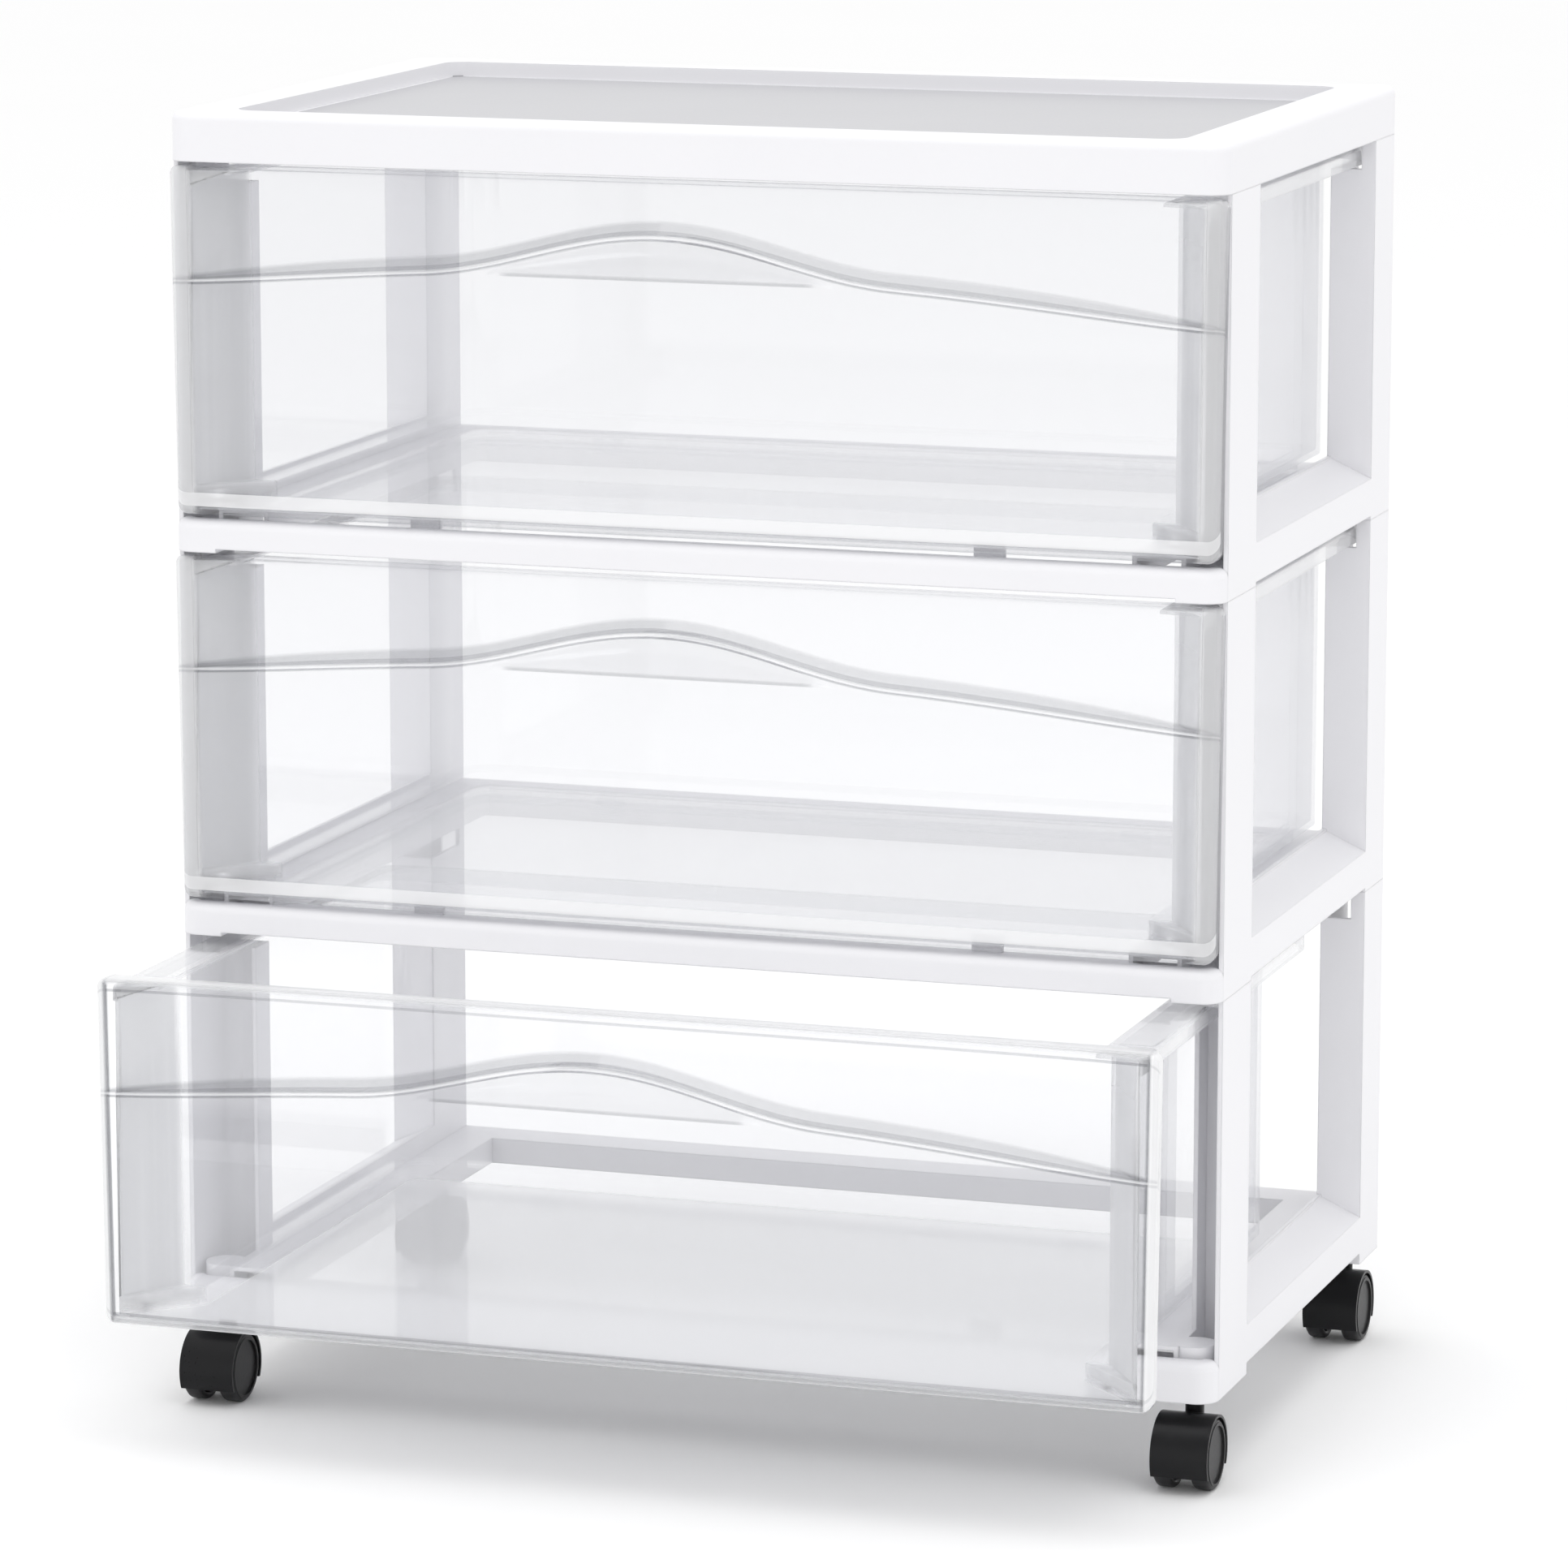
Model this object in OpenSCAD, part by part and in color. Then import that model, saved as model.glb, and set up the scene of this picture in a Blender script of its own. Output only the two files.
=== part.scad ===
// Drawer tower: a white moulded frame of three tiers and a tray top, three clear drawers
// with a wave-shaped pull, and four black twin-wheel casters on steel grip-ring stems.
// Millimetres. +Z is up, Z = 0 is the floor, +X is to the right, and the drawers open towards -Y.

/* [Frame] */
// Width over the side walls
cab_w = 556; // [480:4:640]
// Depth from the front fascia to the back
cab_d = 350; // [300:2:410]
// Height of one tier, from seam to seam
tier_pitch = 200; // [160:2:240]
// Wall thickness of the white mouldings
frame_wall = 2.5; // [2:0.1:3]
// Radius of the upright corners
corner_r = 11; // [9:1:14]
// How far the posts and window frames reach in from the side
reveal = 24; // [22:1:30]
// Depth of the front posts along the side
front_post_d = 64; // [54:1:76]
// Depth of the rear posts along the side
rear_post_d = 50; // [40:1:60]
// Depth of the lip inside the front posts
post_lip = 18; // [10:1:24]

/* [Tier ring] */
// Height of the front fascia above the seam
fascia_h = 17; // [15:1:20]
// Radius of the fascia's upper edge
fascia_edge_r = 5; // [4:0.5:6]
// Depth of the front rail
front_rail_d = 32; // [28:1:40]
// Drop of the front rail behind its rounded edge
rail_dish = 4; // [2:0.5:5]
// Height of the shelf that carries a drawer, above the seam
shelf_h = 22; // [21:0.5:26]
// Width of that shelf
shelf_w = 25; // [20:1:30]
// Height of the shelf's turned-down lip
lip_h = 14; // [8:1:16]
// Rise of the sloping window sill
sill_rise = 11; // [6:1:14]
// How much the rails stop short of the seam
rail_lift = 2; // [1:0.5:3]
// How much the base's corner blocks reach below its seam
base_drop = 4; // [3:0.5:6]
// Stiffening ribs under each side rail
side_ribs = 4; // [2:1:6]
// Stiffening ribs under the front and rear rails
cross_ribs = 8; // [4:1:12]

/* [Top] */
// Height of the top from its lower edge to its rim
top_h = 25; // [22:1:30]
// Depth of the tray in the top
tray_depth = 8; // [5:1:10]
// Width of the tray's rim at the sides
tray_rim_x = 28; // [20:1:40]
// Width of the tray's rim at the front and the back
tray_rim_y = 20; // [14:1:30]
// Radius of the top's upper edge
top_edge_r = 4; // [3:0.5:6]

/* [Drawers] */
// Wall thickness of the clear drawers
clear_wall = 2.2; // [1.8:0.1:2.6]
// Gap between a drawer front and the piece above it
gap_above = 2; // [1:0.5:4]
// Gap between a drawer front and the fascia below it
gap_below = 2.4; // [2:0.2:4]
// Depth of the drawer front's turned-back edge at the sides and foot
front_flange_d = 9.5; // [9:0.5:11]
// Depth of the turned-back edge along the top
top_flange_d = 14.5; // [12:0.5:16]
// Radius of the drawer front's edges
front_edge = 4; // [2.5:0.5:4.5]
// How much narrower the front is at its foot, on each side
front_taper = 2; // [0:0.5:4]
// Gap between the drawer's wall and the posts
wall_gap = 7; // [4:0.5:9]
// Gap between the drawer's rim and the side wall of the frame
rim_gap = 6.5; // [5:0.5:8]
// How far the rim stands out from the back wall
rim_back = 5.5; // [4.5:0.5:8]
// Height of the rim's turned-down edge
rim_h = 9; // [6:0.5:14]
// Radius of the rim's upper edge
rim_r = 3; // [2.5:0.5:4]
// Drop from the top of the front to the rim
rim_drop = 2.5; // [2.5:0.5:6]
// Clearance round the rim in the posts' notches
notch_gap = 1.5; // [1:0.25:3]
// Depth over which the tub flares out to meet its front
flare_d = 32; // [26:1:36]
// How far the foot of the tub steps in
foot_step = 12; // [8:1:14]
// Height of that foot
foot_h = 12; // [10:1:20]
// Radius of the tub's foot corners
foot_r = 12; // [8:1:20]
// Gap between the tub and the back of the frame
back_gap = 10; // [6:1:20]
// Travel of a drawer from shut to its stop
travel = 270; // [200:5:280]
// How far the lower drawer stands open
lower_open = 108; // [0:1:200]

/* [Pull] */
// Drop from the top of the front to the wave's flanks
wave_drop = 39; // [34:1:60]
// Extra drop of the wave at the ends
wave_sweep = 21; // [10:1:30]
// Height of the arch
arch_h = 18; // [12:1:24]
// Half width of the arch
arch_half = 125; // [100:5:140]
// Offset of the arch from the middle
arch_x = -15; // [-40:1:40]
// How far the lower face stands proud of the upper face
face_step = 6; // [4:0.5:7]
// Height of the sloping ledge along the wave
ledge_h = 6.5; // [4:0.5:8]
// Thickness of the grip lip under the ledge
grip_lip = 2.6; // [2.4:0.1:4]
// Drop of the pocket's straight lower edge from the top of the front
pocket_drop = 48.2; // [44:0.2:70]
// Depth of the finger pocket for each millimetre of its height
scoop_rate = 0.9; // [0.4:0.1:1]

/* [Casters] */
// Diameter of the wheels
wheel_d = 36; // [32:1:44]
// Width of one wheel
wheel_w = 9.8; // [8:0.1:12]
// Width of the web between the wheels
web_w = 9; // [9:0.2:11]
// Wall thickness of the hood
hood_wall = 1.5; // [1.2:0.1:2]
// Gap between a wheel and the hood
hood_gap = 0.7; // [0.5:0.1:1.5]
// Height of the hood's lower edge above the floor
hood_low = 9; // [6:1:12]
// Distance from the stem to the axle
trail = 11; // [9:0.5:13]
// Diameter of the axle
axle_d = 4; // [3:0.2:4.4]
// Diameter of the stem's lower pin
pin_d = 5.6; // [5:0.1:6]
// Diameter of the stem in its socket
stem_d = 7.8; // [7:0.1:8.6]
// Distance of the stem from the side wall
stem_in_x = 15.5; // [14:0.5:16]
// Distance of the stem from the front or back
stem_in_y = 22; // [22:0.5:26]

/* [Hidden] */
$fn = 64;
eps = 0.01;

// Caster heights, from the floor up
axle_z = wheel_d / 2;
hood_r = wheel_d / 2 + hood_gap + hood_wall;
neck_h = 2.8;
neck_top = axle_z + hood_r + neck_h;
collar_gap = 0.3;
collar_h = 3.2;
collar_d = 11;
shoulder_h = 1.5;
base_z = neck_top + collar_gap + collar_h + shoulder_h;
pin_foot = 4;
boss_d = web_w;
neck_d = 9.6;
wheel_gap = 0.5;
wheel_x0 = web_w / 2 + wheel_gap;
wheel_x1 = wheel_x0 + wheel_w;
running = 0.05;
snug = 0.02;

// Sockets in the base
socket_depth = 23;
socket_gap = 0.1;
socket_d = stem_d + 2 * socket_gap;
socket_wall = 4;
pedestal_r = stem_in_y - front_flange_d - 1.5;
groove_d = 5.8;
groove_h = 4;
groove_z = 11;
ring_split = 1.6;

// Frame heights and places, measured from the middle of the cabinet
half_w = cab_w / 2;
half_d = cab_d / 2;
cab_y = lower_open / 2;
function seam(k) = base_z + base_drop + k * tier_pitch;
function low_edge(k) = k == 0 ? -base_drop : 0;
post_front = front_flange_d + 0.5;
fillet_r = 8;
tongue_h = 8;
tongue_w = 26;
tongue_root = 12;
tongue_fit = 0.25;
rib_t = 2;
dish_z = fascia_h - rail_dish;
edge_web = 8;
rail_foot = 3;
post_shelves = 3;
rim_rib_n = 6;
tray_rib_h = 8;
tray_r = 12;

// Drawer sizes
front_h = tier_pitch - gap_above - fascia_h - gap_below;
front_top = tier_pitch - gap_above;
front_w = cab_w - 1;
foot_corner_r = 6;
head_corner_r = 4.5;
glide = 0.3;
tub_z = shelf_h + glide;
rim_top = front_top - rim_drop;
rim_x = half_w - frame_wall - rim_gap;
wall_x = half_w - reveal - wall_gap;
foot_x = wall_x - foot_step;
corner_x = foot_x - foot_r;
corner_y = half_d - back_gap - rim_back - foot_step - foot_r;
wall_r = foot_r + foot_step;
rim_corner_r = wall_r + rim_back;
notch_z = rim_top - rim_h - notch_gap;
shut_y = -half_d;
stop_x = half_w * 0.54;
stop_w = 16;
stop_t = 3;
stop_y = -half_d + front_rail_d;
tab_y = stop_y + travel + 0.5;
grid_n = 34;
fade_power = 6;
flare_x = rim_x - clear_wall / 2;
flare_y = shut_y + flare_d;
flare_root = shut_y + (step_at(flare_x - clear_wall) + clear_wall) / 2;

module both_sides() {
    for (m = [0, 1])
        mirror([m, 0, 0])
            children();
}

module cabinet() {
    translate([0, cab_y, 0])
        children();
}

// A rectangle with four round corners, centred
module round_rect(w, d, r) {
    square([w - 2 * r, d], center = true);
    square([w, d - 2 * r], center = true);
    for (x = [-1, 1], y = [-1, 1])
        translate([x * (w / 2 - r), y * (d / 2 - r)])
            circle(r);
}

// A section drawn as (inwards, up) and carried along the side wall at +X, from y0 to y1
module along_side(y0, y1) {
    translate([half_w, y1, 0])
        mirror([1, 0, 0])
            rotate([90, 0, 0])
                linear_extrude(y1 - y0)
                    children();
}

// A section drawn as (inwards, up) and carried along the front, over the middle length
module along_front(length) {
    translate([-length / 2, -half_d, 0])
        rotate([90, 0, 90])
            linear_extrude(length)
                children();
}

// The same along the back
module along_back(length) {
    mirror([0, 1, 0])
        along_front(length)
            children();
}

// Quarter of a round tube wall, in the upper left of its centre
module quarter_wall(r, t) {
    intersection() {
        difference() {
            circle(r);
            circle(r - t);
        }
        translate([-r, 0])
            square([r, r]);
    }
}

// ---- tier ring and posts ----

// Front rail: fascia with a rounded upper edge, a dished top and a turned-down lip
module front_section(low) {
    translate([0, low])
        square([frame_wall, fascia_h - fascia_edge_r - low]);
    translate([fascia_edge_r, fascia_h - fascia_edge_r])
        quarter_wall(fascia_edge_r, frame_wall);
    translate([fascia_edge_r - eps, fascia_h - frame_wall])
        square([edge_web - fascia_edge_r + eps, frame_wall]);
    translate([edge_web - frame_wall, dish_z - frame_wall])
        square([frame_wall, rail_dish + frame_wall]);
    translate([edge_web - frame_wall, dish_z - frame_wall])
        square([front_rail_d - edge_web + frame_wall, frame_wall]);
    translate([front_rail_d - frame_wall, rail_foot])
        square([frame_wall, dish_z - rail_foot]);
}

// Rear rail: an upturned channel whose top is level with the side shelves
module rear_section() {
    translate([0, rail_lift])
        square([frame_wall, shelf_h - rail_lift]);
    translate([0, shelf_h - frame_wall])
        square([shelf_w, frame_wall]);
    translate([shelf_w - frame_wall, shelf_h - lip_h])
        square([frame_wall, lip_h]);
}

// Side rail between the posts: outer wall, sloping sill and the inner guide wall
module sill_section() {
    translate([0, rail_lift])
        square([frame_wall, shelf_h - rail_lift]);
    polygon([[0, shelf_h - frame_wall], [0, shelf_h], [reveal, shelf_h + sill_rise],
        [reveal, shelf_h + sill_rise - frame_wall], [frame_wall, shelf_h - frame_wall]]);
    translate([reveal - frame_wall, shelf_h - frame_wall])
        square([frame_wall, sill_rise + frame_wall]);
}

// Shelf that carries the drawer, with its turned-down lip
module shelf_section() {
    translate([reveal - frame_wall, dish_z - frame_wall])
        square([frame_wall, shelf_h - dish_z + frame_wall]);
    translate([reveal - frame_wall, shelf_h - frame_wall])
        square([shelf_w + frame_wall, frame_wall]);
    translate([reveal + shelf_w - frame_wall, shelf_h - lip_h])
        square([frame_wall, lip_h]);
}

// Filling of the side rail, for its ribs
module side_rib_section() {
    polygon([[frame_wall / 2, rail_lift + 2], [frame_wall / 2, shelf_h - frame_wall / 2],
        [reveal - frame_wall / 2, shelf_h + sill_rise - frame_wall],
        [reveal - frame_wall / 2, shelf_h - frame_wall / 2],
        [reveal + shelf_w - frame_wall / 2, shelf_h - frame_wall / 2],
        [reveal + shelf_w - frame_wall / 2, shelf_h - lip_h + 2]]);
}

// Outline of a corner block: a slice of the frame's rounded outline, d deep from the front
module corner_outline(d, inset) {
    intersection() {
        round_rect(cab_w - 2 * inset, cab_d - 2 * inset, corner_r - inset);
        translate([half_w - reveal + inset, -half_d])
            square([reveal, d - inset]);
    }
}

// Plan of a front post: side wall, flange behind the window's edge and an inner lip
module front_post_plan() {
    back = -half_d + front_post_d;
    translate([half_w - frame_wall, -half_d + post_front])
        square([frame_wall, front_post_d - post_front]);
    translate([half_w - reveal, back - frame_wall])
        square([reveal, frame_wall]);
    translate([half_w - reveal, back - post_lip])
        square([frame_wall, post_lip]);
    translate([half_w - frame_wall, back - frame_wall])
        difference() {
            translate([-fillet_r, -fillet_r])
                square([fillet_r + eps, fillet_r + eps]);
            translate([-fillet_r, -fillet_r])
                circle(fillet_r);
        }
}

// Plan of a rear post: a channel that is open to the back
module rear_post_plan() {
    mirror([0, 1])
        difference() {
            corner_outline(rear_post_d, 0);
            corner_outline(rear_post_d, frame_wall);
            translate([half_w - reveal + frame_wall, -half_d - 1])
                square([reveal - corner_r - frame_wall, frame_wall + 2]);
        }
}

// Shelves inside the open back of a rear post
module rear_post_shelves(k) {
    step = (tier_pitch - shelf_h) / (post_shelves + 1);
    for (i = [1 : post_shelves])
        translate([0, 0, shelf_h + i * step])
            linear_extrude(rib_t)
                mirror([0, 1])
                    intersection() {
                        corner_outline(rear_post_d, frame_wall / 2);
                        translate([half_w - reveal, -half_d + 4])
                            square([reveal, rear_post_d]);
                    }
}

// Tongue on a post's head that locates the piece above
module tongue(y) {
    x = half_w - frame_wall - tongue_fit - frame_wall;
    translate([x, y, tier_pitch - tongue_root])
        cube([frame_wall, tongue_w, tongue_root + tongue_h]);
    translate([x, y, tier_pitch - tongue_root])
        cube([frame_wall + tongue_fit + eps, tongue_w, tongue_root - 1]);
}

// Deeper block at each corner of a ring
module corner_block(k) {
    low = low_edge(k);
    high = rail_lift + 4;
    for (end = [0, 1])
        mirror([0, end, 0])
            translate([0, 0, low])
                linear_extrude(high - low)
                    difference() {
                        corner_outline(end == 0 ? front_post_d : rear_post_d, 0);
                        corner_outline(end == 0 ? front_post_d : rear_post_d, frame_wall);
                    }
}

// Round fascia corner at the front
module fascia_corner(k) {
    translate([half_w - corner_r, -half_d + corner_r, 0])
        rotate([0, 0, -90])
            rotate_extrude(angle = 90)
                intersection() {
                    translate([corner_r, 0])
                        mirror([1, 0])
                            front_section(low_edge(k));
                    translate([0, -corner_r])
                        square([corner_r, 2 * corner_r + fascia_h]);
                }
}

module ring(k) {
    post_end = half_d - rear_post_d;
    post_start = -half_d + front_post_d;
    along_front(cab_w - 2 * corner_r)
        front_section(k == 0 ? -base_drop : rail_lift);
    along_back(cab_w - 2 * corner_r)
        rear_section();
    both_sides() {
        fascia_corner(k);
        along_side(post_start - frame_wall, post_end + frame_wall)
            sill_section();
        along_side(-half_d + post_front + 1, half_d - frame_wall)
            shelf_section();
        corner_block(k);
        // floor of the front post's channel
        translate([half_w - reveal, -half_d + corner_r - 1, dish_z - frame_wall])
            cube([reveal - frame_wall / 2, front_post_d - corner_r, frame_wall]);
        for (i = [1 : side_ribs]) {
            y = post_start + i * (post_end - post_start) / (side_ribs + 1);
            along_side(y - rib_t / 2, y + rib_t / 2)
                side_rib_section();
        }
    }
    for (i = [1 : cross_ribs]) {
        x = -half_w + reveal + shelf_w + i * (cab_w - 2 * (reveal + shelf_w)) / (cross_ribs + 1);
        translate([x - rib_t / 2, -half_d + frame_wall / 2, rail_foot])
            cube([rib_t, front_rail_d - frame_wall, dish_z - rail_foot - frame_wall / 2]);
        translate([x - rib_t / 2, half_d - shelf_w + frame_wall / 2, shelf_h - lip_h + 1])
            cube([rib_t, shelf_w - frame_wall, lip_h - 1 - frame_wall / 2]);
    }
    // stops that the drawer's tabs meet
    both_sides()
        translate([stop_x - stop_w / 2, stop_y - stop_t, dish_z - eps])
            cube([stop_w, stop_t, shelf_h - 0.5 - dish_z]);
}

// Plan of the notches that the drawer's rim slides through, at the head of the posts
module notch_plan() {
    translate([half_w - reveal - 1, -half_d + post_front])
        square([rim_x + notch_gap - half_w + reveal + 1, front_post_d]);
    translate([half_w - reveal - 1, half_d - rear_post_d - 1])
        square([rim_x + notch_gap - half_w + reveal + 1, rear_post_d + 1 - back_gap + 2 * notch_gap]);
}

module post_plans() {
    front_post_plan();
    rear_post_plan();
}

module posts(k) {
    both_sides() {
        translate([0, 0, low_edge(k)])
            linear_extrude(notch_z - low_edge(k))
                post_plans();
        translate([0, 0, notch_z - eps])
            linear_extrude(tier_pitch - notch_z + eps)
                difference() {
                    post_plans();
                    notch_plan();
                }
        rear_post_shelves(k);
        tongue(-half_d + front_post_d - tongue_w - fillet_r - 2 * frame_wall);
        tongue(half_d - corner_r - tongue_w);
    }
}

// Corner foot of the base, with the socket for a caster stem
module caster_foot() {
    for (end = [0, 1])
        mirror([0, end, 0]) {
            translate([0, 0, -base_drop])
                linear_extrude(frame_wall)
                    corner_outline(end == 0 ? front_post_d : rear_post_d, frame_wall / 2);
            translate([half_w - stem_in_x, -half_d + stem_in_y, -base_drop])
                cylinder(h = base_drop + shelf_h, r = end == 0 ? pedestal_r : socket_d / 2 + socket_wall);
        }
}

module caster_sockets() {
    for (end = [0, 1])
        mirror([0, end, 0])
            translate([half_w - stem_in_x, -half_d + stem_in_y, -base_drop - 1])
                cylinder(h = socket_depth + 1, r = socket_d / 2);
}

module tier(k) {
    color("white")
        cabinet()
            translate([0, 0, seam(k)]) {
                ring(k);
                posts(k);
            }
}

module upper_tier() {
    tier(2);
}

module middle_tier() {
    tier(1);
}

module base_tier() {
    color("white")
        cabinet()
            translate([0, 0, seam(0)])
                difference() {
                    union() {
                        ring(0);
                        posts(0);
                        both_sides()
                            caster_foot();
                    }
                    both_sides()
                        caster_sockets();
                }
}

// ---- top ----

// Skirt of the top: an upright wall with a rounded upper edge
module skirt_section() {
    square([frame_wall, top_h - top_edge_r]);
    translate([top_edge_r, top_h - top_edge_r])
        quarter_wall(top_edge_r, frame_wall);
}

module skirt() {
    along_front(cab_w - 2 * corner_r)
        skirt_section();
    along_back(cab_w - 2 * corner_r)
        skirt_section();
    both_sides() {
        along_side(corner_r - half_d, half_d - corner_r)
            skirt_section();
        for (end = [0, 1])
            mirror([0, end, 0])
                translate([half_w - corner_r, half_d - corner_r, 0])
                    rotate_extrude(angle = 90)
                        translate([corner_r, 0])
                            mirror([1, 0])
                                skirt_section();
    }
}

module top_panel() {
    tray_w = cab_w - 2 * tray_rim_x;
    tray_l = cab_d - 2 * tray_rim_y;
    floor_z = top_h - tray_depth - frame_wall;
    color("white")
        cabinet()
            translate([0, 0, seam(3)]) {
                skirt();
                // rim round the tray
                translate([0, 0, top_h - frame_wall])
                    linear_extrude(frame_wall)
                        difference() {
                            round_rect(cab_w - 2 * top_edge_r, cab_d - 2 * top_edge_r, corner_r - top_edge_r);
                            round_rect(tray_w, tray_l, tray_r);
                        }
                // wall and floor of the tray
                translate([0, 0, floor_z])
                    linear_extrude(tray_depth + frame_wall)
                        difference() {
                            round_rect(tray_w + 2 * frame_wall, tray_l + 2 * frame_wall, tray_r + frame_wall);
                            round_rect(tray_w, tray_l, tray_r);
                        }
                translate([0, 0, floor_z])
                    linear_extrude(frame_wall)
                        round_rect(tray_w + frame_wall, tray_l + frame_wall, tray_r + frame_wall / 2);
                // ribs under the tray, both ways
                for (i = [-2 : 2])
                    translate([i * tray_w / 6 - rib_t / 2, -tray_l / 2, floor_z - tray_rib_h])
                        cube([rib_t, tray_l, tray_rib_h + eps]);
                for (i = [-1 : 1])
                    translate([-tray_w / 2, i * tray_l / 4 - rib_t / 2, floor_z - tray_rib_h])
                        cube([tray_w, rib_t, tray_rib_h + eps]);
            }
}

// ---- drawers ----

// The wave: its drop from the top of the front at x
function from_arch(x) = abs(x - arch_x);
function arch(x) = from_arch(x) < arch_half ? arch_h * (1 + cos(180 * from_arch(x) / arch_half)) / 2 : 0;
function wave(x) = wave_drop + wave_sweep * pow(from_arch(x) / half_w, 2.2) - arch(x);
// The step fades out towards the ends
function fade(x) = 1 - pow(min(abs(x) / (front_w / 2), 1), fade_power);
function step_at(x) = 0.2 + (face_step - 0.2) * fade(x);
function ledge_at(x) = 0.6 + (ledge_h - 0.6) * fade(x);
function roof(x) = wave(x) + ledge_at(x) + grip_lip;
function pocket_rise(x) = max(pocket_drop - roof(x), 0);
function scoop(x) = scoop_rate * pocket_rise(x);
function pocket_foot(x) = max(pocket_drop, roof(x) + 3);
function round_cut(e, r) = e < r ? r - sqrt(r * r - (r - e) * (r - e)) : 0;

// One upright section of the drawer front at x, as points (inwards, down from the top).
// Solid sections make the turned-back edges at the two ends.
function front_outline(x) = let (
        s = step_at(x), r = roof(x), p = scoop(x), f = pocket_foot(x), t = clear_wall, e = front_edge,
        c = e * (1 - sqrt(0.5)), d = top_depth(front_w / 2 - abs(x)),
        u1 = r + 0.5 + (f - r - 0.5) / 3, u2 = r + 0.5 + 2 * (f - r - 0.5) / 3)
    [[d, 0], [s + e, 0], [s + c, c], [s, e], [s, wave(x)], [0, wave(x) + ledge_at(x)], [0, r],
        [p, r + 0.5], [p * 8 / 9, u1], [p * 5 / 9, u2], [0, f],
        [0, front_h - e], [c, front_h - c], [e, front_h], [front_flange_d, front_h],
        [front_flange_d, front_h - t], [e, front_h - t], [t, front_h - e], [t, f + 0.9],
        [t + p * 5 / 9, u2 + 0.6], [t + p * 8 / 9, u1], [t + p, r + 0.5 - t],
        [t + s, r + 0.2 - t], [t + s, e], [s + e, t], [d, t]];
outer_points = 15;
solid_end = 2.5;
// Depth of the top edge at the distance e from the end
function top_depth(e) = front_flange_d
    + (top_flange_d - front_flange_d) * min(max((e - solid_end - 0.7) / 1.8, 0), 1);

// Near the two ends the face rounds back and the corners are cut round
function front_section_at(x) = let (
        e = front_w / 2 - abs(x), top = round_cut(e, head_corner_r), foot = round_cut(e, foot_corner_r),
        o = front_outline(x))
    [for (i = [0 : len(o) - 1]) let (
            d = top + o[i][1] * (front_h - top - foot) / front_h,
            y = e < solid_end && i >= outer_points ? front_flange_d : max(o[i][0], round_cut(e, front_edge)))
        [x * (1 - front_taper * d / front_h / (front_w / 2)), shut_y + y, front_top - d]];

edge_steps = [0, 0.4, 1.2, 2.2, 3.2, 5];
function front_xs() = let (e = front_w / 2, n = len(edge_steps), m = e - edge_steps[n - 1])
    concat([for (i = [0 : n - 1]) -e + edge_steps[i]],
        [for (i = [1 : grid_n - 1]) -m + i * 2 * m / grid_n],
        [for (i = [n - 1 : -1 : 0]) e - edge_steps[i]]);

// Drawer front: the upright sections joined into one shell
module drawer_front() {
    xs = front_xs();
    n = len(front_outline(0));
    c = len(xs);
    points = [for (x = xs) each front_section_at(x)];
    sides = [for (j = [0 : c - 2], i = [0 : n - 1]) let (
            a = j * n + i, b = j * n + (i + 1) % n)
        each [[a, b + n, b], [a, a + n, b + n]]];
    ends = [[for (i = [0 : n - 1]) i], [for (i = [n - 1 : -1 : 0]) (c - 1) * n + i]];
    polyhedron(points, concat(sides, ends), convexity = 6);
}

// Upright section of the tub's wall, as (out from the corner's centre, up)
module tub_section() {
    step_z = tub_z + foot_h;
    translate([foot_r - clear_wall, tub_z])
        square([clear_wall, foot_h]);
    translate([foot_r - clear_wall, step_z - clear_wall])
        square([foot_step + clear_wall, clear_wall]);
    translate([wall_r - clear_wall, step_z - clear_wall])
        square([clear_wall, rim_top + clear_wall - step_z]);
}

// Upright section of the rim's rounded and turned-down edge, as (inwards, up)
module rim_section() {
    translate([0, rim_top - rim_h])
        square([clear_wall, rim_h - rim_r]);
    translate([rim_r, rim_top - rim_r])
        quarter_wall(rim_r, clear_wall);
}

// Tub: the section carried down one side, round the back and up the other side
module tub_wall() {
    both_sides() {
        translate([corner_x, corner_y, 0])
            rotate([90, 0, 0])
                linear_extrude(corner_y - flare_y)
                    tub_section();
        translate([corner_x, corner_y, 0])
            rotate_extrude(angle = 90)
                tub_section();
    }
    translate([-corner_x, corner_y, 0])
        rotate([90, 0, 90])
            linear_extrude(2 * corner_x)
                tub_section();
}

// Plan of a wall of the flare, from the outer face at x of the straight wall to the front
function flare_wall(x) = let (t = clear_wall * norm([flare_x - x, flare_y - flare_root]) / (flare_y - flare_root))
    [[x - clear_wall, flare_y], [x, flare_y], [flare_x, flare_root], [flare_x - t, flare_root]];

// Flare: near the front the wall and the foot turn outwards, and the step between them runs out
module flare() {
    step_z = tub_z + foot_h;
    both_sides() {
        translate([0, 0, tub_z])
            linear_extrude(foot_h)
                polygon(flare_wall(foot_x));
        translate([0, 0, step_z - clear_wall]) {
            linear_extrude(clear_wall)
                polygon([flare_wall(foot_x)[0], [wall_x, flare_y], flare_wall(foot_x)[2], flare_wall(foot_x)[3]]);
            linear_extrude(rim_top - step_z + clear_wall / 2)
                polygon(flare_wall(wall_x));
        }
    }
}

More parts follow.
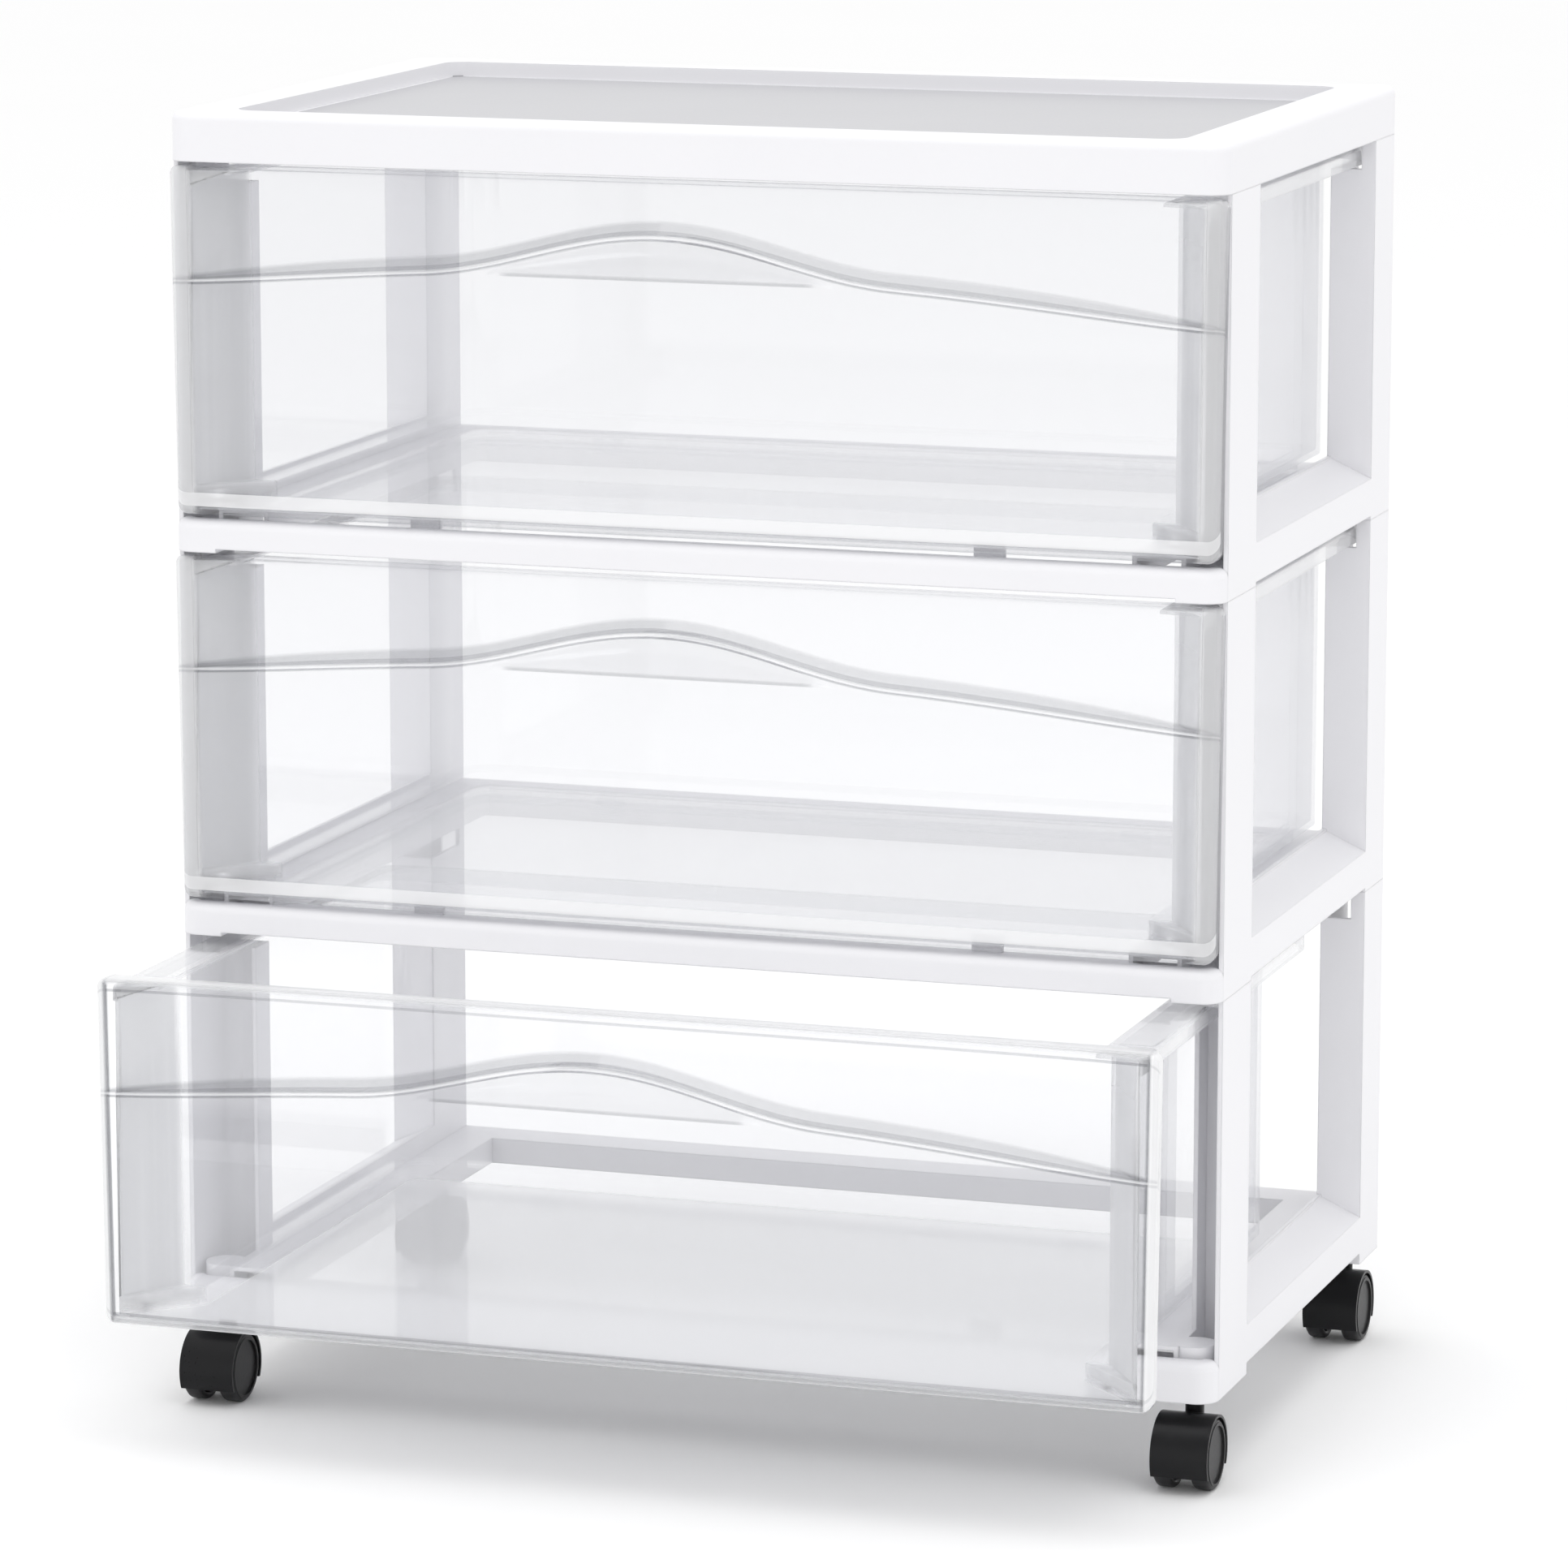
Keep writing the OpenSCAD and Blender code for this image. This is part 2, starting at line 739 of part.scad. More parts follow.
// Edge of the rim, carried round the same way on a wider path
module rim_edge() {
    root = shut_y + step_at(rim_x) + clear_wall / 2;
    both_sides() {
        translate([rim_x, corner_y, 0])
            mirror([1, 0, 0])
                rotate([90, 0, 0])
                    linear_extrude(corner_y - root)
                        rim_section();
        translate([rim_x - rim_corner_r, corner_y, 0])
            rotate_extrude(angle = 90)
                translate([rim_corner_r, 0])
                    mirror([1, 0])
                        rim_section();
    }
    translate([rim_corner_r - rim_x, corner_y + rim_corner_r, 0])
        mirror([0, 1, 0])
            rotate([90, 0, 90])
                linear_extrude(2 * (rim_x - rim_corner_r))
                    rim_section();
}

// Flat of the rim, between its edge and the wall
module rim_flat() {
    inner_x = wall_x - clear_wall;
    outer_x = rim_x - rim_r + eps;
    flat_r = rim_corner_r - rim_r + eps;
    root = shut_y + clear_wall / 2;
    translate([0, 0, rim_top - clear_wall])
        linear_extrude(clear_wall) {
            both_sides()
                polygon([[inner_x, root + step_at(inner_x)], [outer_x, root + step_at(outer_x)],
                    [outer_x, corner_y], [inner_x, corner_y]]);
            difference() {
                union() {
                    translate([rim_corner_r - rim_x, corner_y])
                        square([2 * (rim_x - rim_corner_r), flat_r]);
                    both_sides()
                        translate([rim_x - rim_corner_r, corner_y])
                            intersection() {
                                circle(flat_r);
                                square(flat_r + 1);
                            }
                }
                translate([-corner_x, corner_y - 1])
                    square([2 * corner_x, wall_r - clear_wall + 1]);
                both_sides()
                    translate([corner_x, corner_y])
                        circle(wall_r - clear_wall);
            }
        }
}

module tub_floor() {
    translate([0, 0, tub_z])
        linear_extrude(clear_wall) {
            translate([-foot_x, flare_root])
                square([2 * foot_x, corner_y - flare_root]);
            translate([-corner_x, flare_root])
                square([2 * corner_x, corner_y + foot_r - flare_root]);
            both_sides()
                polygon([[0, flare_y], [foot_x, flare_y], [flare_x, flare_root], [0, flare_root]]);
            for (x = [-1, 1])
                translate([x * corner_x, corner_y])
                    circle(foot_r);
        }
}

module drawer(k, out) {
    color("lightsteelblue", 0.5)
        cabinet()
            translate([0, -out, seam(k)]) {
                drawer_front();
                tub_wall();
                flare();
                rim_edge();
                rim_flat();
                tub_floor();
                // tabs that meet the stops on the front rail
                both_sides()
                    translate([stop_x - stop_w / 2, tab_y, dish_z + 2])
                        cube([stop_w, stop_t, tub_z - dish_z]);
            }
}

module upper_drawer() {
    drawer(2, 0);
}

module middle_drawer() {
    drawer(1, 0);
}

module lower_drawer() {
    drawer(0, lower_open);
}

// ---- casters ----

// Puts a caster part at its stem: sx is -1 left or 1 right, sy is -1 front or 1 rear
module caster_at(sx, sy) {
    translate([sx * (half_w - stem_in_x), cab_y + sy * (half_d - stem_in_y), 0])
        children();
}

// Steel stem: a pin for the hood, a collar under the frame and a grooved shaft in the socket
module stem(sx, sy) {
    shaft_h = socket_depth - 1;
    color("silver")
        caster_at(sx, sy) {
            translate([0, 0, axle_z + pin_foot])
                cylinder(h = neck_top + collar_gap + eps - axle_z - pin_foot, r = pin_d / 2);
            translate([0, 0, neck_top + collar_gap])
                cylinder(h = collar_h, r = collar_d / 2);
            translate([0, 0, neck_top + collar_gap + collar_h])
                cylinder(h = shoulder_h - 0.1, r1 = collar_d / 2 - 0.6, r2 = stem_d / 2);
            translate([0, 0, base_z])
                difference() {
                    translate([0, 0, -0.5])
                        cylinder(h = shaft_h, r = stem_d / 2);
                    translate([0, 0, groove_z])
                        difference() {
                            cylinder(h = groove_h, r = stem_d);
                            translate([0, 0, -1])
                                cylinder(h = groove_h + 2, r = groove_d / 2);
                        }
                }
        }
}

// Split spring ring that grips the socket
module grip_ring(sx, sy) {
    color("gray")
        caster_at(sx, sy)
            translate([0, 0, base_z + groove_z + 0.1])
                difference() {
                    cylinder(h = groove_h - 0.2, r = socket_d / 2 - snug);
                    translate([0, 0, -1])
                        cylinder(h = groove_h + 2, r = groove_d / 2 + snug);
                    translate([0, -ring_split / 2, -1])
                        cube([socket_d, ring_split, groove_h + 2]);
                }
}

// A solid turned about the caster's axle, with its profile drawn as (radius, along +X)
module about_axle() {
    translate([0, -trail, axle_z])
        rotate([0, 90, 0])
            children();
}

// Hood: a barrel over both wheels, a web between them, and a boss with the swivel bore
module hood(sx, sy) {
    color("#222222")
        caster_at(sx, sy)
            difference() {
                union() {
                    intersection() {
                        about_axle() {
                            difference() {
                                cylinder(h = 2 * wheel_x1, r = hood_r, center = true);
                                cylinder(h = 2 * wheel_x1 + 2, r = hood_r - hood_wall, center = true);
                            }
                            cylinder(h = web_w, r = hood_r - eps, center = true);
                        }
                        translate([-cab_w, -cab_w, hood_low])
                            cube([2 * cab_w, 2 * cab_w, 2 * cab_w]);
                    }
                    translate([0, 0, hood_low])
                        cylinder(h = neck_top - hood_low, r = boss_d / 2);
                    translate([0, 0, axle_z + hood_r - 4])
                        cylinder(h = neck_top - axle_z - hood_r + 4, r = neck_d / 2);
                }
                about_axle()
                    cylinder(h = web_w + 2, r = axle_d / 2 + snug, center = true);
                translate([0, 0, axle_z + pin_foot - collar_gap])
                    cylinder(h = neck_top - axle_z, r = pin_d / 2 + running);
            }
}

module axle(sx, sy) {
    color("silver")
        caster_at(sx, sy)
            about_axle()
                cylinder(h = 2 * (wheel_x1 - 3.5), r = axle_d / 2, center = true);
}

// Wheel: round tread, a recessed face outside, and a hub with ribs inside
module wheel(sx, sy, side) {
    r = wheel_d / 2;
    edge = 1.8;
    rim_t = 2.6;
    tread_w = wheel_w - 0.4;
    face_x = wheel_w - 1.2;
    face_t = 1.8;
    hub_r = axle_d / 2 + 2.4;
    color("#1a1a1a")
        caster_at(sx, sy)
            about_axle()
                mirror([0, 0, side > 0 ? 0 : 1])
                    translate([0, 0, wheel_x0]) {
                        rotate_extrude()
                            difference() {
                                union() {
                                    translate([r - rim_t, 0])
                                        square([rim_t - edge, tread_w]);
                                    translate([r - rim_t, edge])
                                        square([rim_t, tread_w - 2 * edge]);
                                    for (z = [edge, tread_w - edge])
                                        translate([r - edge, z])
                                            circle(edge);
                                    translate([0, face_x - face_t])
                                        square([r - edge, face_t]);
                                    translate([r - edge - 1.6, face_x - face_t])
                                        square([1.6, wheel_w - face_x + face_t]);
                                    square([hub_r, face_x]);
                                }
                                translate([-1, -1])
                                    square([axle_d / 2 + running + 1, wheel_w - 3.2 + 1]);
                            }
                        for (a = [0 : 60 : 300])
                            rotate([0, 0, a])
                                translate([hub_r - 0.5, -0.6, 1])
                                    cube([r - hub_r - rim_t + 1, 1.2, face_x - 1.5]);
                    }
}

module front_left_stem() { stem(-1, -1); }
module front_left_grip_ring() { grip_ring(-1, -1); }
module front_left_hood() { hood(-1, -1); }
module front_left_axle() { axle(-1, -1); }
module front_left_outer_wheel() { wheel(-1, -1, -1); }
module front_left_inner_wheel() { wheel(-1, -1, 1); }
module front_right_stem() { stem(1, -1); }
module front_right_grip_ring() { grip_ring(1, -1); }
module front_right_hood() { hood(1, -1); }
module front_right_axle() { axle(1, -1); }
module front_right_outer_wheel() { wheel(1, -1, 1); }
module front_right_inner_wheel() { wheel(1, -1, -1); }
module rear_left_stem() { stem(-1, 1); }
module rear_left_grip_ring() { grip_ring(-1, 1); }
module rear_left_hood() { hood(-1, 1); }
module rear_left_axle() { axle(-1, 1); }
module rear_left_outer_wheel() { wheel(-1, 1, -1); }
module rear_left_inner_wheel() { wheel(-1, 1, 1); }
module rear_right_stem() { stem(1, 1); }
module rear_right_grip_ring() { grip_ring(1, 1); }
module rear_right_hood() { hood(1, 1); }
module rear_right_axle() { axle(1, 1); }
module rear_right_outer_wheel() { wheel(1, 1, 1); }
module rear_right_inner_wheel() { wheel(1, 1, -1); }

top_panel();
upper_tier();
middle_tier();
base_tier();
upper_drawer();
middle_drawer();
lower_drawer();
front_left_stem();
front_left_grip_ring();
front_left_hood();
front_left_axle();
front_left_outer_wheel();
front_left_inner_wheel();
front_right_stem();
front_right_grip_ring();
front_right_hood();
front_right_axle();
front_right_outer_wheel();
front_right_inner_wheel();
rear_left_stem();
rear_left_grip_ring();
rear_left_hood();
rear_left_axle();
rear_left_outer_wheel();
rear_left_inner_wheel();
rear_right_stem();
rear_right_grip_ring();
rear_right_hood();
rear_right_axle();
rear_right_outer_wheel();
rear_right_inner_wheel();
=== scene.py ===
import bmesh
import bpy
import numpy as np
from math import cos, pi, radians, sin
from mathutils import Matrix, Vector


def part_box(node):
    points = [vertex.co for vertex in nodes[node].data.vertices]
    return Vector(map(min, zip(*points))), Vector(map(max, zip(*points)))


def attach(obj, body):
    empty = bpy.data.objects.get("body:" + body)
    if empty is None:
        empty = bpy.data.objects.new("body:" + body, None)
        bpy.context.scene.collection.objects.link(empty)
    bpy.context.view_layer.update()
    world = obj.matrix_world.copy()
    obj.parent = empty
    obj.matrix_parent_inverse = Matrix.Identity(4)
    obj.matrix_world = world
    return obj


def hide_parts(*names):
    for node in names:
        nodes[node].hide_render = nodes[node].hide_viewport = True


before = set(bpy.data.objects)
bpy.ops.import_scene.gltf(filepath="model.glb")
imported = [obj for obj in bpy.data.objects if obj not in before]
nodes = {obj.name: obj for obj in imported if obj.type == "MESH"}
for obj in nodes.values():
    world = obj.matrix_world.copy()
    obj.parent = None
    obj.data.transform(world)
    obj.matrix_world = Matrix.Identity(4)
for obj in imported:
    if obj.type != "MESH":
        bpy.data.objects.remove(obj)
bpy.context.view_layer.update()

# ---------------------------------------------------------------------------------------------
# Base, middle and upper tier. Each is one injection moulding in white polypropylene with a fine
# satin skin: a ring on four posts. They stack by tongues on their posts, so only a thin seam
# shows between them.
# ---------------------------------------------------------------------------------------------
WHITES = (0.805, 0.802, 0.825, 1), (0.83, 0.827, 0.85, 1)
SATIN, SATIN_GRAIN, MOULDED_EDGE = 0.36, 0.08, 0.0012
DRIFT_SCALE, DRIFT_SHARE = 9.0, 0.06
GRAIN_SCALE, GRAIN_SHARE, GRAIN_DEEP = 900.0, 0.08, 0.0002
EDGE_SAMPLES = 4


class Wire:
    """An output of a shader node. Sums, differences and products of it add Math nodes."""

    def __init__(self, tree, socket):
        self.tree, self.socket = tree, socket

    def add(self, kind, settings, sockets, output=0):
        """A new node of this kind. Its settings come first, then its sockets: values or wires."""
        made = self.tree.nodes.new(kind)
        for name, value in settings.items():
            setattr(made, name, value)
        for name, value in sockets.items():
            if isinstance(value, Wire):
                self.tree.links.new(value.socket, made.inputs[name])
            else:
                made.inputs[name].default_value = value
        return Wire(self.tree, made.outputs[output])

    def maths(self, operation, *values):
        """A Math node that does this operation on these values or wires."""
        return self.add("ShaderNodeMath", {"operation": operation}, dict(enumerate(values)))

    def __add__(self, other):
        return self.maths("ADD", self, other)

    __radd__ = __add__

    def __mul__(self, other):
        return self.maths("MULTIPLY", self, other)

    __rmul__ = __mul__

    def __sub__(self, other):
        return self.maths("SUBTRACT", self, other)

    def __rsub__(self, other):
        return self.maths("SUBTRACT", other, self)

    def blend(self, low, high):
        """A colour that goes from low to high as this value goes from 0 to 1."""
        ends = {0: self, 6: low, 7: high}
        return self.add("ShaderNodeMix", {"data_type": "RGBA"}, ends, output=2)


def new_material(name):
    """A material with an empty tree, its output node, and a wire of Object coordinates."""
    material = bpy.data.materials.new(name)
    material.use_nodes = True
    tree = material.node_tree
    tree.nodes.clear()
    out = tree.nodes.new("ShaderNodeOutputMaterial")
    place = tree.nodes.new("ShaderNodeTexCoord")
    return material, out, Wire(tree, place.outputs["Object"])


def noise(place, scale, detail=2.0):
    """Smooth noise from 0 to 1, with `scale` waves to the metre."""
    sockets = {"Vector": place, "Scale": scale, "Detail": detail}
    return place.add("ShaderNodeTexNoise", {}, sockets)


def moulded(name, colours, roughness, grain, edge, ior=1.49, shade_painter=None):
    """Moulded plastic. Its colour drifts a little between the two given, its roughness strays from
    the given one by a share of that drift and a share of a fine grain, and the grain also breaks
    its gloss. Its edges are rounded to the radius `edge`, ior sets how strongly its skin shines,
    and shade_painter, if given, turns the place and the colour into a colour with painted shade."""
    material, out, place = new_material(name)
    drift = noise(place, DRIFT_SCALE)
    colour = drift.blend(*colours)
    # Painted shade, where a painter of it is given.
    if shade_painter:
        colour = shade_painter(place, colour)
    fine = noise(place, GRAIN_SCALE, detail=1.0)
    smoothest = roughness - (DRIFT_SHARE + GRAIN_SHARE) / 2
    round_edge = place.add("ShaderNodeBevel", {"samples": EDGE_SAMPLES}, {"Radius": edge})
    skin = place.add(
        "ShaderNodeBump",
        {},
        {"Strength": grain, "Distance": GRAIN_DEEP, "Height": fine, "Normal": round_edge},
    )
    shader = place.add(
        "ShaderNodeBsdfPrincipled",
        {},
        {
            "Base Color": colour,
            "Roughness": fine * GRAIN_SHARE + (drift * DRIFT_SHARE + smoothest),
            "Normal": skin,
            "IOR": ior,
        },
    )
    material.node_tree.links.new(shader.socket, out.inputs["Surface"])
    return material


def paint(material, *names):
    """Gives CAD nodes their finish."""
    for name in names:
        nodes[name].data.materials.clear()
        nodes[name].data.materials.append(material)


white = moulded("white_moulding", WHITES, SATIN, SATIN_GRAIN, MOULDED_EDGE)
paint(white, "base_tier", "middle_tier", "upper_tier")

# ---------------------------------------------------------------------------------------------
# Top. One moulding in the same white polypropylene, with a skirt that sits on the upper tier and
# a shallow tray. Shade is painted on the tray's floor, which makes it greyer.
# ---------------------------------------------------------------------------------------------
TRAY_SHADE_GREY = (0.46, 0.46, 0.48, 1)
TRAY_IN_X, TRAY_IN_Y = 0.0305, 0.021
TRAY_DEEP, TRAY_BAND = 0.00805, 0.00075


def tray_floor_shade(place, colour):
    """The painted shade on the tray's floor, grey there, and the colour elsewhere. The floor is
    where x is within its half width of 0, y within its half depth of its middle, and z close to its
    height."""
    x, y, z = (place.add("ShaderNodeSeparateXYZ", {}, {0: place}, output=k) for k in range(3))
    low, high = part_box("top_panel")
    middle, half = (low.y + high.y) / 2, (high.y - low.y) / 2
    within = x.maths("COMPARE", x, 0.0, high.x - TRAY_IN_X)
    within = within * y.maths("COMPARE", y, middle, half - TRAY_IN_Y)
    within = within * z.maths("COMPARE", z, high.z - TRAY_DEEP, TRAY_BAND)
    # Painted shade: the tray's floor is made grey.
    return within.blend(colour, TRAY_SHADE_GREY)


tray = moulded("white_tray", WHITES, SATIN, SATIN_GRAIN, MOULDED_EDGE, shade_painter=tray_floor_shade)
paint(tray, "top_panel")

# ---------------------------------------------------------------------------------------------
# Drawer fronts. Each drawer is one moulding in clear polystyrene. A wave runs across its front,
# where the lower face stands forward of the upper one, and under the arch of the wave a pocket
# for the fingers is scooped out below a thin lip.
# ---------------------------------------------------------------------------------------------
LEVELS, OPEN_LEVEL = ("upper", "middle", "lower"), "lower"
HALF_CABINET = (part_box("base_tier")[1].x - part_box("base_tier")[0].x) / 2
WALL, FRONT_HIGH = 0.0022, 0.1786

# The turned-back edge, which is deeper along the top except near the ends, and the outline.
FLANGE, TOP_FLANGE, EDGE = 0.0095, 0.0145, 0.004
TOP_FLANGE_IN, TOP_FLANGE_RUN = 0.0032, 0.0018
TAPER, HEAD_R, FOOT_CORNER_R = 0.002, 0.0045, 0.006

# The wave's line, the step and the ledge below it, which fade towards the ends, the lip, and the
# pocket: its foot, how deep it is for its height, its least height and how its skins run.
WAVE_DROP, WAVE_SWEEP, WAVE_POWER = 0.039, 0.021, 2.2
ARCH_HEIGHT, ARCH_HALF, ARCH_X = 0.018, 0.125, -0.015
FACE_STEP, FACE_STEP_END, STANDING_POWER = 0.006, 0.0002, 6
LEDGE, LEDGE_END, LEDGE_MIDDLE, LEDGE_MIDDLE_STEP = 0.0065, 0.0006, 0.6, 0.4
LIP, LIP_CUT, LIP_FOOT_CUT, LIP_THIN = 0.0026, 0.0009, 0.0007, 0.0002
POCKET_DROP, SCOOP, POCKET_LEAST, POCKET_ROOF, POCKET_THIN = 0.0482, 0.9, 0.003, 0.0005, 0.0009
POCKET_ROWS = 9

# How much is cut off a corner on each side: hardly anything, a wall's edge, an outer and an inner
# corner. A corner where a mark changes is never cut by 0, or its points would merge.
CRISP, FINE, SOFT, INNER = 0.0001, 0.0008, 0.0012, 0.0018
STEPS = np.linspace(0, 1, 5)[:, None]

# Across the front: the sections near an end, by their distance from it, the number of sections
# between, and how far from the end the inner skin begins.
END_SECTIONS = np.array([0, 0.15, 0.5, 1.1, 1.8, 2.24, 2.26, 2.9, 3.6, 4.3, 5.1, 6.0]) / 1000
MIDDLE_SECTIONS, INNER_FROM = 180, 0.00225

# Where marks change: the pocket's by its depth, the line at its foot, the line below the top edge,
# and the band and the line above the foot edge.
POCKET_FROM, POCKET_RUN, POCKET_LINE = 0.0027, 0.001, 0.0018
EDGE_LINE, HAZE_HIGH, FOOT_LINE = (0.0048, 0.0062), 0.0115, (0.0064, 0.0046)

# Marks, from 0 for clear. On the turned-back edge: its painted light, which makes it milky, the
# painted shade of the lines beside it, of its foot and of its top, and how frosted the band above
# its foot is. At the two ends: the painted light and then the painted shade, each as distances
# from the end and the marks there.
SHUT_EDGE, OPEN_EDGE = (0, 0, 0.25, 0.1, 0.8), (1, 0.7, 0, 0, 0)
SHUT_ENDS = ([0, 0.0001, 0.009, 0.012], [0, 0.45, 0.45, 0]), ([0, 0.0001], [0.45, 0])
OPEN_ENDS = ([0.0033, 0.0043], [1, 0]), ([0.0036, 0.0043, 0.0051, 0.006], [0, 0.9, 0.9, 0])
# Painted shade on the wave's band, its ledge, the lip's lower half, the pocket and the line at its
# foot, growing towards the two ends; a painted highlight on the lip's upper half.
WAVE_SHADE, LEDGE_SHADE, LIP_HIGHLIGHT, LIP_SHADE = 0.75, 1.2, 0.5, 1.1
POCKET_SHADE, POCKET_FOOT_SHADE, END_SHADE, END_POWER = 0.12, 0.9, 0.7, 8

# The clear plastic: its ripples, the streaks in its milk, the colours it passes and scatters,
# whose grey ends carry the painted shade, its mirror, and for each effect its share and the
# least of it.
RIPPLE_SCALE, RIPPLE_STRENGTH, RIPPLE_DEEP = 9.0, 0.02, 0.002
STREAK_SCALE, STREAK_SQUEEZE, STREAK_SHARE, STREAK_LEAST = 190.0, (1, 1, 0.02), 1.1, 0.45
SLANT_GREY, SLANT_GREY_POWER, PAINTED_SHADE_GREY = 0.10, 3.0, 0.8
PASSING = (0.984, 0.985, 0.99, 1), (0.55, 0.555, 0.57, 1)
MILKS, MILK_ROUGHNESS = ((0.9, 0.902, 0.91, 1), (0.74, 0.745, 0.76, 1)), 0.35
MILK_SHARE, MILK_LEAST = 0.7, 0.04
MIRROR_COLOUR, MIRROR_SHARE, MIRROR_LEAST, MIRROR_POWER = (0.97, 0.97, 0.975, 1), 0.9, 0.04, 5.0
MIRROR_DRIFT, MIRROR_ROUGHNESS = 0.02, 0.03
WELD, FLAT_WEIGHT = 1e-6, 100


def wave(x):
    """Drop of the wave below the top of the front: a sweep that grows with the 2.2th power of the
    distance from the arch, less half a cosine wave for the arch."""
    d = np.abs(x - ARCH_X)
    arch = np.where(d < ARCH_HALF, ARCH_HEIGHT * (1 + np.cos(np.pi * d / ARCH_HALF)) / 2, 0)
    return WAVE_DROP + WAVE_SWEEP * (d / HALF_CABINET) ** WAVE_POWER - arch


def standing_out(most, least, x, half):
    """A size that is `most` over the middle of the front and falls to `least` at its two ends, by
    the 6th power of the distance from the middle."""
    return least + (most - least) * (1 - np.minimum(np.abs(x) / half, 1) ** STANDING_POWER)


def soften(ring, cut):
    """Rounds the corners of closed outlines, given as (..., corners, 2). Corner P becomes the curve
    (1 - t)^2 A + 2 t (1 - t) P + t^2 B, with A and B at the distance `cut` before and after it, or
    at 0.45 of a shorter side."""

    def towards(other):
        side = other - ring
        length = np.linalg.norm(side, axis=-1, keepdims=True)
        return ring + side * np.minimum(cut[:, None] / np.maximum(length, 1e-9), 0.45)

    before, after = towards(np.roll(ring, 1, axis=-2)), towards(np.roll(ring, -1, axis=-2))
    t = STEPS
    curve = (
        (1 - t) ** 2 * before[..., None, :]
        + 2 * t * (1 - t) * ring[..., None, :]
        + t**2 * after[..., None, :]
    )
    return curve.reshape(*ring.shape[:-2], -1, 2)


def sides_to_points(values):
    """Gives the points of softened outlines, (..., corners), the value of their side: a corner's
    points run from the value of the side before it to that of the side after it, in even steps."""
    before, after = np.roll(values, 1, axis=-1)[..., None], values[..., None]
    return ((1 - STEPS[:, 0]) * before + STEPS[:, 0] * after).reshape(*values.shape[:-1], -1)


def corner_cut(e, r):
    """How much a round corner of radius r takes off at the distance e from the end: r less the root
    of the square of r less the square of r - e."""
    return np.where(e < r, r - np.sqrt(np.maximum(r * r - (r - e) ** 2, 0)), 0)


def build(name, points, faces, marks):
    """A mesh object at the origin from an array of points and lists of corner numbers, with its
    doubles merged and its faces turned outwards. marks holds a number for each point, by name."""
    mesh = bpy.data.meshes.new(name)
    mesh.from_pydata(points.reshape(-1, 3).tolist(), [], faces)
    for key, values in marks.items():
        layer = mesh.attributes.new(key, "FLOAT", "POINT")
        layer.data.foreach_set("value", np.ravel(values))
    welded = bmesh.new()
    welded.from_mesh(mesh)
    bmesh.ops.remove_doubles(welded, verts=welded.verts, dist=WELD)
    bmesh.ops.recalc_face_normals(welded, faces=welded.faces)
    welded.to_mesh(mesh)
    welded.free()
    mesh.shade_smooth()
    piece = bpy.data.objects.new(name, mesh)
    bpy.context.scene.collection.objects.link(piece)
    weigh = piece.modifiers.new("flat faces stay flat", "WEIGHTED_NORMAL")
    weigh.weight = FLAT_WEIGHT
    return piece


def drawer_part(level, part, points, faces, marks):
    """One part of a drawer's moulding. Its parts together stand for the drawer's node."""
    node = level + "_drawer"
    piece = build(node + "_" + part, points, faces, marks)
    piece.data.materials.append(clear)
    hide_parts(node)
    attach(piece, node)


def grid_faces(columns, ring, wrap=True):
    """Quads between neighbouring columns of a grid, each column being `ring` points round. Unless
    wrap is false, the last point of a column is joined to its first."""
    c = np.arange(columns - 1)[:, None] * ring
    i = np.arange(ring if wrap else ring - 1)[None, :]
    j = (i + 1) % ring
    return np.stack([c + i, c + j, c + ring + j, c + ring + i], axis=-1).reshape(-1, 4).tolist()


def front_faces(columns, ring):
    """The front's skin, and a face over the section at each of its two ends."""
    last = (columns - 1) * ring
    return grid_faces(columns, ring) + [list(range(ring)), list(range(last, last + ring))]


